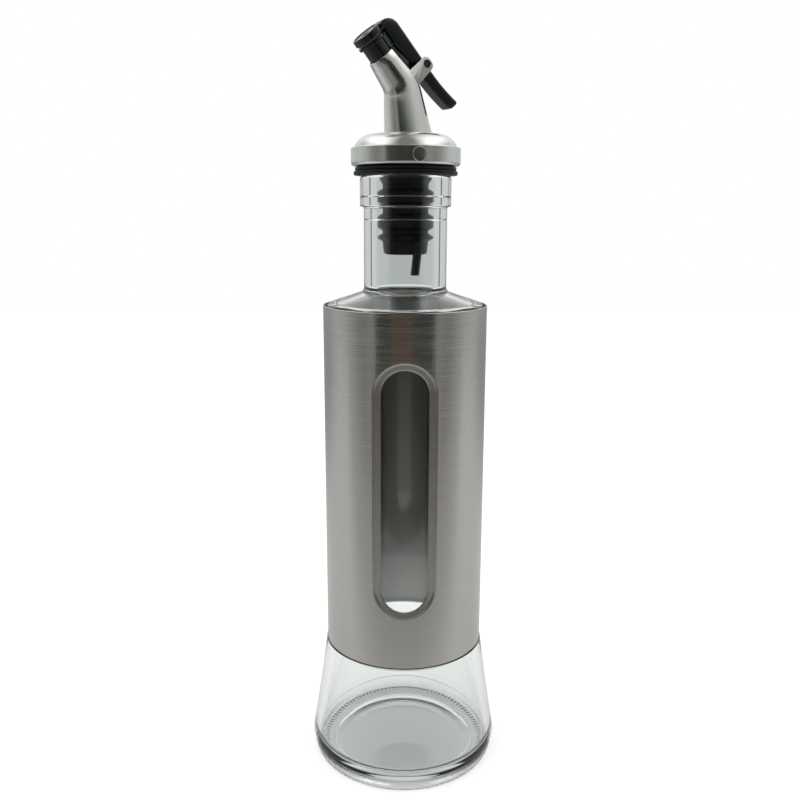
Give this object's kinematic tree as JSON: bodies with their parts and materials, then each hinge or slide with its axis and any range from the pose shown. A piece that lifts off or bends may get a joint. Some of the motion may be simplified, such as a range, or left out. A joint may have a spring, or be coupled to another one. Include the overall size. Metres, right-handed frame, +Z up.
{
  "type": "oil cruet",
  "caption": "Tall glass oil bottle with a flared foot and a windowed brushed steel sleeve, closed by a rubber stopper and a bent silver spout with a hinged black lever lid.",
  "frame": {"origin": "centre of the foot, on the surface the bottle stands on", "axes": "+Z up along the bottle's axis, -Y out through the middle of the sleeve's window, X to the side; the spout points 208 degrees round from +X, to the left and half as much to the front"},
  "size_m": [0.0746, 0.0746, 0.2831],
  "materials": {
    "clear_glass": "clear, faint green-grey tint, polished; the foot is stippled",
    "brushed_steel": "brushed around the body, satin",
    "silver_plastic": "metallised silver, satin",
    "black_rubber": "matt",
    "gloss_black_plastic": "gloss",
    "matt_black_plastic": "matt",
    "grey_silicone": "matt, soft"
  },
  "bodies": {
    "bottle": {"glass_bottle": "clear_glass", "steel_sleeve": "brushed_steel"},
    "stopper": {"stopper": "black_rubber"},
    "pourer": {"plug_core": "matt_black_plastic", "air_tube": "matt_black_plastic", "spout_shell": "silver_plastic", "nozzle_insert": "gloss_black_plastic", "hinge_pin": "matt_black_plastic"},
    "lever": {"lever": "gloss_black_plastic", "lid_seal": "grey_silicone"}
  },
  "joints": [
    {"name": "stopper_pull", "type": "slide", "parent": "bottle", "child": "stopper", "axis": [0, 0, 1], "range_m": [0, 0.05]},
    {"name": "pourer_turn", "type": "hinge", "parent": "stopper", "child": "pourer", "pos_m": [0, 0, 0.2316], "axis": [0, 0, 1], "continuous": true},
    {"name": "lever_press", "type": "hinge", "parent": "pourer", "child": "lever", "pos_m": [0.0052, 0.00277, 0.26876], "axis": [-0.4695, 0.8829, 0], "range_deg": [0, 25]}
  ]
}
